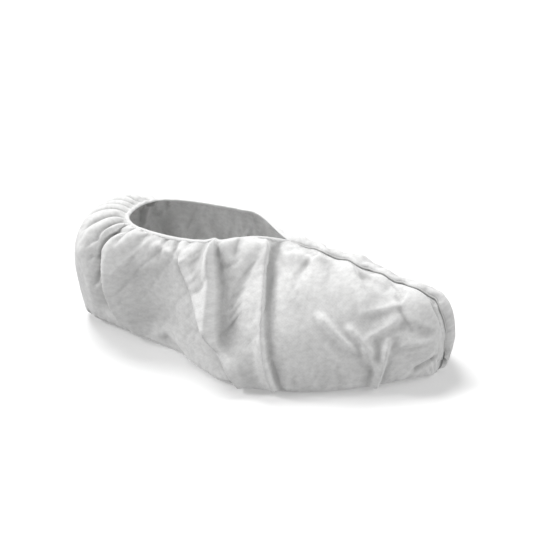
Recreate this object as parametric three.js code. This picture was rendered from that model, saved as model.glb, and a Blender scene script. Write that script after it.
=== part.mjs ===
// A disposable shoe cover of thin nonwoven cloth, standing on the floor in its worn shape.
// One blank wraps the sole and both sides. A sewn seam closes it from the opening over the toe to the
// floor, and an elastic hem gathers the opening. Millimetres, +Z up, toe to +X, floor at z = 0.
import * as THREE from 'three';

// Driving dimensions
const CLOTH = 1.2;           // thickness of the cloth wall
const SEAM_WIDTH = 2.0;      // sewn strip in the front seam
const SEAM_DEPTH = 1.6;
const SEAM_RECESS = 0.4;     // how far the strip lies below the cloth on both sides
const SEAM_EDGE = 1.9;       // from the seam's plane to each cloth edge
const HEM_WIDTH = 4.0;       // elastic hem round the opening
const HEM_THICKNESS = 2.4;
const HEM_GAP = 0.8;         // clearance below the hem, measured along the wall
const FOOT_ROUND = 5.0;      // bend where the wall turns under to the sole
const CENTRE_X = 2.3;        // middle of the footprint, measured from the seam's own axes
const CENTRE_Y = -12.7;

function readTable(columns, rows) {
  return rows.map((row) => Object.fromEntries(columns.map((column, i) => [column, row[i]])));
}

// One row for each upright section, from the heel back to the toe tip. The near and far walls share a row.
// foot: where the wall meets the floor. top: its upper edge, which is the opening or the seam.
// heading: which way the wall leans out at its top, in degrees from +X.
// rise (a share of the section's height), belly, shoulder and lift set how it swells between foot and top.
const SECTIONS = readTable(
  ['footX', 'nearY', 'farY', 'topX', 'topNear', 'topFar', 'topZ',
    'heading', 'rise', 'belly', 'shoulder', 'nearLift', 'farLift'],
  [
    [-155,   6,   6, -108,   0,   0,  97,   180, 0.58,  9, 50, 18, 18],   // heel back
    [-148, -17,  27, -105, -15,  16,  97,   150, 0.57,  9, 47, 15, 17],   // heel corner
    [-122, -28,  40,  -93, -26,  28,  97,   118, 0.50, 11, 30,  9,  0],   // heel side
    [ -90, -37,  41,  -73, -31,  34,  97,    95, 0.42,  9, 15,  7, -2],   // heel front
    [ -55, -46,  38,  -51, -33,  35,  97,    90, 0.42,  4, 12,  7, -2],   // arch
    [ -25, -65,  38,  -28, -33,  34,  97,    90, 0.42, -6, 13,  8, -4],   // waist
    [   0, -77,  40,   -9, -32,  31,  96,    90, 0.42, -8, 14, 12, -6],   // throat corner
    [  28, -79,  43,   28, -SEAM_EDGE, SEAM_EDGE, 92,   90, 0.42, -2, 34, 0, 4],   // throat point
    [  60, -73,  45,   60, -SEAM_EDGE, SEAM_EDGE, 87,   90, 0.42,  2, 34, 0, 1],   // instep
    [  90, -59,  45,   92, -SEAM_EDGE, SEAM_EDGE, 80,   90, 0.42,  5, 30, 0, 0],   // toe rear
    [ 117, -40,  42,  122, -SEAM_EDGE, SEAM_EDGE, 72,   88, 0.42,  8, 28, 0, 0],   // toe middle
    [ 142, -18,  33,  146, -SEAM_EDGE, SEAM_EDGE, 64,   80, 0.42,  9, 22, 0, 0],   // toe front
    [ 154,  -9,  19,  158, -SEAM_EDGE, SEAM_EDGE, 38,   70, 0.42,  4, 10, 0, 0],   // toe end
    [ 157, -SEAM_EDGE, SEAM_EDGE,  160, -SEAM_EDGE, SEAM_EDGE, 14,   30, 0.42, 1, 2, 0, 0],   // toe tip
  ],
);
const LAST = SECTIONS.length - 1;
const THROAT = 7;            // section where the opening ends and the seam starts
const HEM_END = 6.85;        // where the hem ends on each side, just short of the throat point

// One row for each fold of the cloth, as a ridge along a bowed line (a valley has a negative height).
// along: from the heel back, at mid wall, near side positive. up: up the wall from the floor.
// back and front: how far the slope reaches on each side of the line.
const FOLDS = readTable(
  ['name', 'along0', 'up0', 'along1', 'up1', 'bow', 'back', 'front', 'height'],
  [
    ['heel hollow',            62,  92,   78,  14,   0,  16,   9, -6.0],
    ['heel ridge',             58, 100,   98,   0,  -2,  10,  24,  4.0],
    ['rear crease',            70, 118,   57,  80,  -6,   8,   7, -5.0],
    ['rear shoulder',          37, 108,   45,  66,   0,  14,  10,  3.0],
    ['rear diagonal',         103, 106,   74,  60,  -2,  10,  12,  4.0],
    ['side hollow',           112,  72,  118,  14,   0,  24,  14, -3.5],
    ['pouch',                 100,  99,  144,  85,   0,  12,  10,  4.0],
    ['main diagonal',         123,  88,  178,   6,   3,  12,  18,  6.5],
    ['second ridge',          164, 125,  178,   8,  -7,   9,   8,  6.0],
    ['branch',                137, 112,  167,  66,   1,   8,   8,  3.0],
    ['valley behind pillar',  178, 128,  185,  28,  -1,   8,  10, -6.5],
    ['pillar',                197, 132,  219,  12,   0,  16,  16,  4.5],
    ['pillar edge',           208, 114,  237,   2,  -5,  14,   6,  4.5],
    ['valley before toe',     213, 122,  231,  22,  -2,   6,  18, -5.5],
    ['throat pouch',          214, 114,  256, 117,   0,   8,   8,  3.0],
    ['toe crest',             266, 120,  293,  58,   2,  26,  12,  4.0],
    ['toe hollow',            291,  97,  314,  86,   0,   8,   8, -3.5],
    ['side crease one',       256,  64,  289,  39,   0,   7,  11,  3.0],
    ['side crease two',       281,  52,  303,  33,   0,   7,  10,  3.0],
    ['low ridge',             306,  37,  310,  -6,   0,   7,   8,  4.0],
    ['toe dent',              332,  34,  348,  22,   0,   9,   9, -4.0],
    ['toe crumple',           293,  68,  328,  48,   0,   8,   8,  2.5],
    ['arch hollow',           110,  24,  138,   4,   0,  10,   8, -4.0],
    ['far heel ridge',        -58, 100,  -88,   4,   2,  18,  10,  4.5],
    ['far heel hollow',       -76, 102, -102,  12,   0,  14,  12, -4.5],
    ['far side ridge',       -108, 102, -138,   6,  -3,  16,  10,  5.0],
    ['far waist valley',     -155, 122, -158,  24,   2,  12,   9, -5.5],
    ['far pillar',           -180, 128, -190,  10,   2,  14,  10,  5.0],
    ['far throat valley',    -202, 120, -214,  28,   0,  14,   8, -5.0],
    ['far throat ridge',     -219, 114, -235,   6,   4,  16,  10,  4.5],
    ['far toe crest',        -260, 114, -289,  56,   0,  14,  22,  3.5],
    ['far toe crease',       -270,  58, -303,  32,   0,  10,   8,  3.0],
    ['far toe dent',         -328,  36, -344,  20,   0,   9,   9, -3.5],
  ],
);
const FOLD_ROUND = 1.5;      // radius that blunts each crest
const FOLD_FADE = 0.25;      // share of a fold's length that fades at each end

// Gathers: round puffs between tight creases, hanging from the elastic. Their pitch drifts round the opening.
const PUFF_PITCH = 15.5;
const PUFF_DRIFTS = readTable(['share', 'length', 'start'], [[0.35, 31, 0], [0.2, 11.3, 1]]);
const PUFF_ROUNDNESS = 0.8;
const PUFF_HEIGHT = { side: 2.4, heel: 4.0 };
const PUFF_REACH = { side: 26, heel: 48 };
const PUFF_BASE = 0.55;      // share of a puff's height that lies below the smooth wall
const HEEL_SPAN = { start: 1.5, end: 3.5 };   // sections over which heel gathers become side gathers
const RIM_HOLD = { share: 0.3, depth: 12 };   // the elastic holds the rim closer to its smooth line
const SEAM_HOLD = 10;        // the folds flatten towards the seam over this distance
const SEAM_ROLL = { height: 2.2, crest: 6.0 };   // the soft roll beside the seam's groove
const FOOT_HOLD = 6;         // and towards the floor over this one
const TIP_TOP = { least: 20, full: 60 };   // heights of a section's top over which the foot's bend grows

// Mesh fineness
const STEPS_PER_SECTION = 7;
const WALL_STEPS = 12;
const SOLE_STEPS = 2;
const HEM_SIDES = 8;
const EVENNESS = 0.45;       // 1 spaces the wall's rows evenly, 0 crowds them to both ends
const NUDGE = 0.01;          // step for slopes, in sections and in wall shares

const smooth = (value) => THREE.MathUtils.smoothstep(value, 0, 1);
const UP = new THREE.Vector3(0, 0, 1);

// Guide lines round the cover: far toe tip, heel back (station 0), near toe tip
const stations = Array.from({ length: 2 * LAST + 1 }, (_, i) => i - LAST);
function guide(pointAt) {
  const points = stations.map((station) => pointAt(SECTIONS[Math.abs(station)], station >= 0));
  return new THREE.CatmullRomCurve3(points, false, 'catmullrom', 0.5);
}
const footGuide = guide((row, near) => new THREE.Vector3(row.footX, near ? row.nearY : row.farY, 0));
const topGuide = guide((row, near) => new THREE.Vector3(row.topX, near ? row.topNear : row.topFar, row.topZ));
const swellGuide = guide((row, near) => {
  return new THREE.Vector3(row.belly, row.shoulder, near ? row.nearLift : row.farLift);
});
const riseGuide = guide((row) => new THREE.Vector3(0, 0, row.rise * row.topZ));
const headingGuide = guide((row, near) => {
  const angle = THREE.MathUtils.degToRad(row.heading);
  return new THREE.Vector3(Math.cos(angle), (near ? -1 : 1) * Math.sin(angle), 0);
});
const share = (station) => THREE.MathUtils.clamp((station + LAST) / (2 * LAST), 0, 1);

// The smooth wall, before any fold: height is the share of its length, from 0 at the floor to 1 at the top
const LENGTH_STEPS = 48;
function smoothWall(station, height) {
  const at = share(station);
  const foot = footGuide.getPoint(at);
  const top = topGuide.getPoint(at);
  if (Math.abs(station) > THROAT) top.setY(station > 0 ? -SEAM_EDGE : SEAM_EDGE);
  const { x: belly, y: shoulder, z: lift } = swellGuide.getPoint(at);
  const run = footGuide.getPoint(share(station + NUDGE)).sub(footGuide.getPoint(share(station - NUDGE)));
  const outward = run.cross(UP).normalize();
  const lean = headingGuide.getPoint(at).normalize();
  const low = foot.clone().addScaledVector(outward, belly).add(riseGuide.getPoint(at));
  const high = top.clone().addScaledVector(lean, shoulder).addScaledVector(UP, lift);
  const profile = new THREE.CubicBezierCurve3(foot, low, high, top);
  profile.arcLengthDivisions = LENGTH_STEPS;
  const point = profile.getPointAt(height);
  const bend = FOOT_ROUND * THREE.MathUtils.smoothstep(top.z, TIP_TOP.least, TIP_TOP.full);
  const below = Math.max(bend - point.z, 0);
  return point.addScaledVector(outward, Math.sqrt(Math.max(bend * bend - below * below, 0)) - bend);
}

// The outward normal of a wall surface, from points a small step away
function outwardNormal(surface, station, height) {
  const ahead = surface(Math.min(station + NUDGE, LAST), height);
  const behind = surface(Math.max(station - NUDGE, -LAST), height);
  const above = surface(station, Math.min(height + NUDGE, 1));
  const below = surface(station, Math.max(height - NUDGE, 0));
  return ahead.sub(behind).cross(above.sub(below)).normalize();
}

// Distances along the wall at mid height, and the wall's length from floor to top edge, at even stations
const RULE_STEPS = 20;
const ruler = [];
for (let i = 0; i <= 2 * LAST * RULE_STEPS; i += 1) {
  const station = i / RULE_STEPS - LAST;
  const column = Array.from({ length: RULE_STEPS + 1 }, (_, j) => smoothWall(station, j / RULE_STEPS));
  const wall = column.slice(1).reduce((sum, point, j) => sum + point.distanceTo(column[j]), 0);
  const middle = column[RULE_STEPS / 2];
  const before = ruler[i - 1];
  ruler.push({ middle, wall, along: before ? before.along + middle.distanceTo(before.middle) : 0 });
}
const heelAlong = ruler[LAST * RULE_STEPS].along;
function measure(station) {
  const place = share(station) * (ruler.length - 1);
  const i = Math.min(Math.floor(place), ruler.length - 2);
  const mix = (key) => THREE.MathUtils.lerp(ruler[i][key], ruler[i + 1][key], place - i);
  return { along: mix('along') - heelAlong, wall: mix('wall') };
}

function foldHeight(fold, along, up) {
  const run = new THREE.Vector2(fold.along1 - fold.along0, fold.up1 - fold.up0);
  const length = run.length();
  run.normalize();
  const offset = new THREE.Vector2(along - fold.along0, up - fold.up0);
  const t = offset.dot(run) / length;
  const aside = run.cross(offset) - fold.bow * 4 * t * (1 - t);
  const reach = aside > 0 ? fold.front : fold.back;
  const slope = Math.max(1 - (Math.hypot(aside, FOLD_ROUND) - FOLD_ROUND) / reach, 0);
  return fold.height * slope * slope * smooth(t / FOLD_FADE) * smooth((1 - t) / FOLD_FADE);
}

// 1 along the opening, 0 along the seam
const BLEND = 0.3;           // sections on each side of the throat point over which one becomes the other
function openness(station) {
  return 1 - THREE.MathUtils.smoothstep(Math.abs(station), THROAT - BLEND, THROAT + BLEND);
}

function reliefHeight(station, height) {
  const { along, wall } = measure(station);
  const up = height * wall;
  const drop = wall - up;
  const open = openness(station);
  const heel = 1 - THREE.MathUtils.smoothstep(Math.abs(station), HEEL_SPAN.start, HEEL_SPAN.end);
  const folds = FOLDS.reduce((sum, fold) => sum + foldHeight(fold, along, up), 0);
  const phase = PUFF_DRIFTS.reduce(
    (sum, drift) => sum + drift.share * Math.sin(along / drift.length + drift.start),
    along / PUFF_PITCH,
  );
  const puff = Math.abs(Math.sin(Math.PI * phase)) ** PUFF_ROUNDNESS - PUFF_BASE;
  const puffHeight = THREE.MathUtils.lerp(PUFF_HEIGHT.side, PUFF_HEIGHT.heel, heel);
  const puffReach = THREE.MathUtils.lerp(PUFF_REACH.side, PUFF_REACH.heel, heel);
  const gathers = open * puffHeight * puff * Math.exp(-((drop / puffReach) ** 2));
  const rimHold = THREE.MathUtils.lerp(RIM_HOLD.share, 1, smooth(drop / RIM_HOLD.depth));
  const seamHold = smooth(drop / SEAM_HOLD);
  const roll = SEAM_ROLL.height * (drop / SEAM_ROLL.crest) * Math.exp(1 - drop / SEAM_ROLL.crest);
  const relief = (folds + gathers) * THREE.MathUtils.lerp(seamHold, rimHold, open) + (1 - open) * roll;
  return relief * smooth(up / FOOT_HOLD);
}

function wallPoint(station, height) {
  const normal = outwardNormal(smoothWall, station, height);
  return smoothWall(station, height).addScaledVector(normal, reliefHeight(station, height));
}

function solid(name, points, triangles, material) {
  const geometry = new THREE.BufferGeometry().setFromPoints(points);
  geometry.setIndex(triangles);
  geometry.computeVertexNormals();
  const mesh = new THREE.Mesh(geometry, material);
  mesh.name = name;
  return mesh;
}

const quad = (a, b, c, d) => [a, b, c, a, c, d];

// Cloth body: the wall strip and the sole, each with an outer and an inner face, closed along every edge
function clothBody(material) {
  const points = [];
  const triangles = [];
  const add = (point) => points.push(point) - 1;
  const columns = 2 * LAST * STEPS_PER_SECTION;
  const middle = columns / 2;
  const outer = [];
  const inner = [];
  for (let i = 0; i <= columns; i += 1) {
    const station = i / STEPS_PER_SECTION - LAST;
    const hemmed = Math.abs(station) < THROAT;
    const edge = hemmed ? 1 - (HEM_WIDTH + HEM_GAP) / measure(station).wall : 1;
    outer.push([]);
    inner.push([]);
    for (let j = 0; j <= WALL_STEPS; j += 1) {
      const t = j / WALL_STEPS;
      const height = edge * THREE.MathUtils.lerp((1 - Math.cos(Math.PI * t)) / 2, t, EVENNESS);
      const point = wallPoint(station, height);
      const within = j === 0 ? UP : outwardNormal(wallPoint, station, height).negate();
      outer[i].push(add(point));
      inner[i].push(add(point.clone().addScaledVector(within, CLOTH)));
    }
  }
  // Each facet is split along its shorter diagonal, so that slanting folds stay crisp
  const facet = (a, b, c, d) => {
    const straight = points[a].distanceTo(points[c]) <= points[b].distanceTo(points[d]);
    return straight ? quad(a, b, c, d) : quad(b, c, d, a);
  };
  for (let i = 0; i < columns; i += 1) {
    for (let j = 0; j < WALL_STEPS; j += 1) {
      triangles.push(...facet(outer[i][j], outer[i + 1][j], outer[i + 1][j + 1], outer[i][j + 1]));
      triangles.push(...facet(inner[i][j + 1], inner[i + 1][j + 1], inner[i + 1][j], inner[i][j]));
    }
    const top = WALL_STEPS;
    triangles.push(...quad(outer[i][top], outer[i + 1][top], inner[i + 1][top], inner[i][top]));
  }
  for (let j = 0; j < WALL_STEPS; j += 1) {
    triangles.push(...quad(outer[0][j], outer[0][j + 1], inner[0][j + 1], inner[0][j]));
    const [end, endIn] = [outer[columns], inner[columns]];
    triangles.push(...quad(end[j + 1], end[j], endIn[j], endIn[j + 1]));
  }
  const across = (face, k) => {
    const [near, far] = [face[middle + k][0], face[middle - k][0]];
    if (k === 0) return Array(SOLE_STEPS + 1).fill(near);
    const row = [near];
    for (let c = 1; c < SOLE_STEPS; c += 1) {
      row.push(add(points[near].clone().lerp(points[far], c / SOLE_STEPS)));
    }
    return [...row, far];
  };
  let under = across(outer, 0);
  let within = across(inner, 0);
  for (let k = 1; k <= middle; k += 1) {
    const nextUnder = across(outer, k);
    const nextWithin = across(inner, k);
    for (let c = 0; c < SOLE_STEPS; c += 1) {
      if (k === 1) {
        triangles.push(under[0], nextUnder[c + 1], nextUnder[c]);
        triangles.push(within[0], nextWithin[c], nextWithin[c + 1]);
      } else {
        triangles.push(...quad(under[c], under[c + 1], nextUnder[c + 1], nextUnder[c]));
        triangles.push(...quad(nextWithin[c], nextWithin[c + 1], within[c + 1], within[c]));
      }
    }
    [under, within] = [nextUnder, nextWithin];
  }
  for (let c = 0; c < SOLE_STEPS; c += 1) {
    triangles.push(...quad(under[c], under[c + 1], within[c + 1], within[c]));
  }
  return solid('cloth_body', points, triangles, material);
}

// A band along a path: each frame is a closed ring of points, and both ends are capped
function band(name, rings, material) {
  const sides = rings[0].length;
  const points = rings.flat();
  const triangles = [];
  for (let i = 0; i + 1 < rings.length; i += 1) {
    for (let k = 0; k < sides; k += 1) {
      const next = (k + 1) % sides;
      const [here, ahead] = [i * sides, (i + 1) * sides];
      triangles.push(...quad(here + k, here + next, ahead + next, ahead + k));
    }
  }
  const lastRing = (rings.length - 1) * sides;
  for (let k = 1; k + 1 < sides; k += 1) {
    triangles.push(0, k + 1, k);
    triangles.push(lastRing, lastRing + k, lastRing + k + 1);
  }
  return solid(name, points, triangles, material);
}

// The cloth's own columns that lie between two stations
function stepsBetween(first, last) {
  const count = 2 * LAST * STEPS_PER_SECTION + 1;
  const columns = Array.from({ length: count }, (_, i) => i / STEPS_PER_SECTION - LAST);
  return columns.filter((station) => station > first && station < last);
}

// Opening hem: a flat elastic casing that carries the cloth's top edge round the opening
function openingHem(material) {
  const inside = stepsBetween(-HEM_END, HEM_END);
  const rings = [-HEM_END, ...inside, HEM_END].map((station) => {
    const { wall } = measure(station);
    return Array.from({ length: HEM_SIDES }, (_, k) => {
      const angle = 2 * Math.PI * (k + 0.5) / HEM_SIDES;
      const height = 1 - HEM_WIDTH * (1 - Math.cos(angle)) / 2 / wall;
      const normal = outwardNormal(wallPoint, station, height);
      const aside = (HEM_THICKNESS * Math.sin(angle) - CLOTH) / 2;
      return wallPoint(station, height).addScaledVector(normal, aside);
    });
  });
  return band('opening_hem', rings, material);
}

// Front seam: the sewn strip in the groove, from the opening over the toe and down to the floor
const SEAM_START = THROAT + 0.05;
const SEAM_FOOT = 0.13;      // wall share at which the strip ends, just clear of the sole
const TIP_STEPS = 4;
function frontSeam(material) {
  const line = [];
  const count = (LAST - THROAT) * STEPS_PER_SECTION;
  for (let i = 0; i <= count; i += 1) {
    line.push([THREE.MathUtils.lerp(SEAM_START, LAST, i / count), 1]);
  }
  for (let i = 1; i <= TIP_STEPS; i += 1) {
    line.push([LAST, THREE.MathUtils.lerp(1, SEAM_FOOT, i / TIP_STEPS)]);
  }
  const path = line.map(([station, height]) => {
    return wallPoint(station, height).add(wallPoint(-station, height)).multiplyScalar(0.5);
  });
  const side = new THREE.Vector3(0, 1, 0);
  const rings = path.map((point, i) => {
    const ahead = path[Math.min(i + 1, path.length - 1)].clone().sub(path[Math.max(i - 1, 0)]).normalize();
    const outward = ahead.clone().cross(side).normalize();
    const corner = (across, depth) => {
      return point.clone().addScaledVector(side, across).addScaledVector(outward, -depth);
    };
    const half = SEAM_WIDTH / 2;
    const bottom = SEAM_RECESS + SEAM_DEPTH;
    return [[half, SEAM_RECESS], [-half, SEAM_RECESS], [-half, bottom], [half, bottom]]
      .map(([across, depth]) => corner(across, depth));
  });
  return band('front_seam', rings, material);
}

function paint(name, color, roughness) {
  return new THREE.MeshStandardMaterial({ name, color, roughness, metalness: 0 });
}
const cloth = paint('nonwoven', 0xf1f1ef, 0.92);
const elastic = paint('hem', 0xececea, 0.95);
const thread = paint('thread', 0xdcdcda, 0.85);

const cover = new THREE.Group();
cover.name = 'shoe_cover';
cover.position.set(-CENTRE_X, -CENTRE_Y, 0);
cover.add(clothBody(cloth), openingHem(elastic), frontSeam(thread));

export default cover;
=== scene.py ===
import math

import bpy
import numpy as np
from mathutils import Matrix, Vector
from mathutils.kdtree import KDTree


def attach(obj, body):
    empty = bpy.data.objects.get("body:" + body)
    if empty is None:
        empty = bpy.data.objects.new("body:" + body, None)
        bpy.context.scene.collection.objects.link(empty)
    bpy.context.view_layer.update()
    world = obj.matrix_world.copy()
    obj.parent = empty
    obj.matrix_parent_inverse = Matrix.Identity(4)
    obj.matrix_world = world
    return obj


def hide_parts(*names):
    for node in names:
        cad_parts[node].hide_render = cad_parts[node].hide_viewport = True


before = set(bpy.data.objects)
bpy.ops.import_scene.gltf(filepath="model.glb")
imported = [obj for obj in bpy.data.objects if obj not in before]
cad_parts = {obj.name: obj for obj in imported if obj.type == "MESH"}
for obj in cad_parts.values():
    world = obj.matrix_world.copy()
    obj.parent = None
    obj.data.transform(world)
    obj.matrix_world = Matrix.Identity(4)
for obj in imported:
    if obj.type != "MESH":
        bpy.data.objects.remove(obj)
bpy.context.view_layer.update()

scene = bpy.context.scene

# Cloth body
# One blank of thin white spunbond cloth wraps the sole and both sides. It is cut wider than the shoe's
# shape, and the elastic hem and the front seam draw it in, so that it stands in folds and gathers.
# A short simulation draws the wider cut in to the worn outline, and then the folds are pressed in.
MM = 0.001                 # the tables below are in millimetres
CLOTH = 0.45               # thickness of the cloth
SEAM_AT = (-2.3, 12.7)     # the seam's own axes in the part's frame
SEAM_EDGE = 1.9            # from the seam's plane to each cloth edge
FOOT_ROUND = 5.0           # bend where the wall turns under to the sole
TIP_TOP = (20, 60)         # heights of a section's top over which that bend grows
THROAT = 7                 # section where the opening ends and the seam starts
PROFILE_STEPS = 48         # steps in which the curve of each section is measured
SECTION_NUDGE = 0.01       # share of a section that gives the direction of the foot line

# One row for each upright section, heel back to toe tip, shared by the near and the far wall.
# foot: where the wall meets the floor. top: its upper edge. heading: which way the wall leans out there.
# rise, belly, shoulder and lift set how it swells between foot and top.
SECTION_COLUMNS = ("foot_x", "near_y", "far_y", "top_x", "top_near", "top_far", "top_z",
                   "heading", "rise", "belly", "shoulder", "near_lift", "far_lift")
E = SEAM_EDGE
SECTIONS = {
    "heel back":     (-155,   6,   6, -108,   0,   0, 97, 180, 0.58,  9, 50, 18, 18),
    "heel corner":   (-148, -17,  27, -105, -15,  16, 97, 150, 0.57,  9, 47, 15, 17),
    "heel side":     (-122, -28,  40,  -93, -26,  28, 97, 118, 0.50, 11, 30,  9,  0),
    "heel front":    ( -90, -37,  41,  -73, -31,  34, 97,  95, 0.42,  9, 15,  7, -2),
    "arch":          ( -55, -46,  38,  -51, -33,  35, 97,  90, 0.42,  4, 12,  7, -2),
    "waist":         ( -25, -65,  38,  -28, -33,  34, 97,  90, 0.42, -6, 13,  8, -4),
    "throat corner": (   0, -77,  40,   -9, -32,  31, 96,  90, 0.42, -8, 14, 12, -6),
    "throat point":  (  28, -79,  43,   28,  -E,   E, 92,  90, 0.42, -2, 34,  0,  1),
    "instep":        (  60, -73,  45,   60,  -E,   E, 87,  90, 0.42,  2, 34,  0, -5),
    "toe rear":      (  90, -59,  45,   92,  -E,   E, 80,  90, 0.42,  5, 30,  0, -8),
    "toe middle":    ( 117, -40,  42,  122,  -E,   E, 72,  88, 0.42,  8, 28,  0, -8),
    "toe front":     ( 142, -18,  33,  146,  -E,   E, 64,  80, 0.42,  9, 22,  0, -4),
    "toe end":       ( 150,  -9,  17,  157,  -E,   E, 38,  70, 0.42,  5, 10,  0,  0),
    "toe tip":       ( 152,  -E,   E,  156,  -E,   E, 14,  30, 0.42,  1,  2,  0,  0),
}
LAST = len(SECTIONS) - 1

# One row for each fold, as a ridge along a bowed line (a valley has a negative height).
# along: from the heel back, at mid wall, near side positive. up: up the wall from the floor.
# back and front: how far the slope reaches on each side.
# lean: how far the crest tips over, as a share of its height.
FOLD_COLUMNS = ("along0", "up0", "along1", "up1", "bow", "back", "front", "height", "lean")
FOLDS = {
    "heel hollow":           ( 60,  92,   76,  14,  0, 16,  7, -6.0,  0.0),
    "heel ridge":            ( 58, 100,   98,   0, -2,  6, 28,  7.0, -0.3),
    "rear crease":           ( 70, 118,   57,  80, -6,  8,  7, -5.0,  0.0),
    "rear shoulder":         ( 37, 108,   45,  66,  0, 14, 10,  3.0,  0.0),
    "rear diagonal":         (103, 106,   74,  60, -2, 14, 16,  2.0,  0.0),
    "side hollow":           (104,  84,  124,  14,  0, 34, 26, -3.0,  0.0),
    "pouch":                 (100,  99,  144,  85,  0, 12, 10,  4.0,  0.0),
    "main diagonal":         (119, 118,  218, -18,  5, 10, 24, 11.0, -0.4),
    "second ridge":          (168, 150,  190,  10, -6, 14,  8,  8.5,  0.4),
    "pleat behind pillar":   (174, 150,  196,  18, -6,  7, 22, -7.0,  0.0),
    "pillar edge":           (198, 146,  240, -20, -6, 26,  7,  8.0,  0.35),
    "hollow before toe":     (205, 140,  228,  50, -6,  4, 10, -2.0,  0.0),
    "rim fold one":          (147, 142,  152, 100,  0,  7,  6,  3.0,  0.0),
    "rim fold two":          (157, 144,  160, 104,  0,  6,  6,  2.5,  0.0),
    "rim fold three":        (163, 146,  164, 108,  0,  5,  5,  2.0,  0.0),
    "rim fold four":         (184, 146,  188, 104,  0,  6,  7,  2.5,  0.0),
    "throat pouch":          (214, 114,  256, 117,  0,  8,  8,  3.0,  0.0),
    "toe crest":             (260, 124,  294,  62,  2, 26, 13,  4.5,  0.0),
    "toe hollow":            (275, 107,  312,  86,  0,  9,  8, -3.5,  0.0),
    "toe ridge":             (284,  64,  324,  74,  1,  6, 12,  2.4,  0.0),
    "toe facet":             (292,  44,  322,  62,  1,  7, 12,  2.4,  0.0),
    "toe side dent":         (312,  60,  352,  42,  0,  7,  7, -3.0,  0.0),
    "toe low crease":        (318,  40,  354,  43,  0,  4,  6,  2.2,  0.0),
    "side crease one":       (252,  70,  293,  35, -1,  6,  8,  3.4,  0.0),
    "side crease two":       (276,  60,  307,  31,  0,  6,  8,  3.2,  0.0),
    "low ridge":             (313,  52,  309, -10, -2,  6,  6,  5.0,  0.3),
    "low arm":               (291,  42,  311,  18,  0,  5,  5,  2.2,  0.0),
    "toe lip":               (333,  11,  362,  24,  0,  5,  6, -4.5,  0.0),
    "arch hollow":           (118,  16,  146,  -2,  0, 10,  8, -2.5,  0.0),
    "far heel ridge":        (-58,  96,  -88,   4,  2, 18, 10,  6.0,  0.3),
    "far heel hollow":       (-72,  90, -100,  12,  0, 14, 12, -4.0,  0.0),
    "far side ridge":       (-108,  88, -140,   0, -3, 18, 10,  7.0,  0.3),
    "far waist valley":     (-155,  88, -158,  14,  2, 12,  9, -5.0,  0.0),
    "far pillar":           (-176,  84, -190,   2,  2, 22, 10,  7.0,  0.3),
    "far throat valley":    (-202,  78, -214,  10,  0, 14, 12, -4.0,  0.0),
    "far throat ridge":     (-219,  84, -237,   0,  4, 22, 10,  6.5,  0.3),
    "far toe crest":        (-262,  98, -292,  46,  0, 14, 22,  5.0,  0.0),
    "far toe crease":       (-266,  62, -306,  28,  0,  8,  8,  4.0,  0.0),
    "far toe dent":         (-328,  36, -344,  20,  0,  9,  9, -3.0,  0.0),
}
FOLD_ROUND = 0.7           # radius that blunts each crest
WAVER = (0.4, 9.0)         # how far the line of a fold wavers, and over what length
FOLD_FADE = 0.25           # share of a fold's length that fades at each end
PRESSED = 0.75             # share of a fold that is pressed in after the cloth has been drawn in
GATHERS_PRESSED = 0.5      # share of the gathers that is pressed in as well

# Round puffs between tight creases hang from the elastic, and a soft roll lies beside the seam.
# Each drift, pucker or scallop is a wave: its size, its length and its start.
PUFF_PITCH = 15.5
PUFF_DRIFTS = ((0.35, 31.0, 0.0), (0.2, 11.3, 1.0))
PUFF_ROUNDNESS = 0.8
PUFF_HEIGHT = {"side": 1.8, "heel": 3.3}
PUFF_REACH = {"side": 18.0, "heel": 31.0}
PUFF_BASE = 0.55           # share of a puff that lies below the smooth wall
HEEL_SPAN = (1.2, 2.8)     # sections over which heel gathers become side gathers
FAR_CALM = (0.7, 1.5, 1.5)   # share that the far gathers lack, the section where that starts, and its span
RIM_HOLD = (0.05, 13.0)    # share of the folds left at the rim, and how far down it holds them
SEAM_HOLD = 10.0           # how far down the seam holds the folds
FOOT_HOLD = 6.0            # how far up the floor holds them
EDGE_HOLD = 3.0            # the pressed gathers stop this far from the edges
ROLL_HEIGHT = {"near": 1.4, "near tip": -1.8, "far": 2.4}
ROLL_TIP = 10.3            # section from which the near roll turns into that of the tip
ROLL_CREST = 6.0           # from the seam to the crest of the roll
PUCKERS = ((0.5, 2.4, 0.0), (1.3, 4.1, 1.0))   # the seam's waver to both sides
SCALLOPS = ((1.4, 4.2, 0.0),)                  # the seam's rise and fall
PUCKER_REACH = 9.0         # how far from the seam the cloth wavers with it
RIM_HUMP = {"along": 188, "half": 26, "height": 8.0, "depth": 24.0}
HEEL_SWELL = {"half": 60.0, "up": 80.0, "half_up": 42.0, "height": 4.5}
BLEND = 0.3                # sections over which the opening becomes the seam

# Fine creases of the thin stiff cloth: direction in degrees, spacing, height, and the length of the patches
CRUMPLES = ((15, 23, 0.8, 31), (64, 19, 0.8, 27), (-28, 27, 0.9, 37), (-71, 17, 0.7, 23), (40, 13, 0.5, 19))
CRUMPLE_BEND = 0.3         # how far a crease bends, as a share of the spacing

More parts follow.
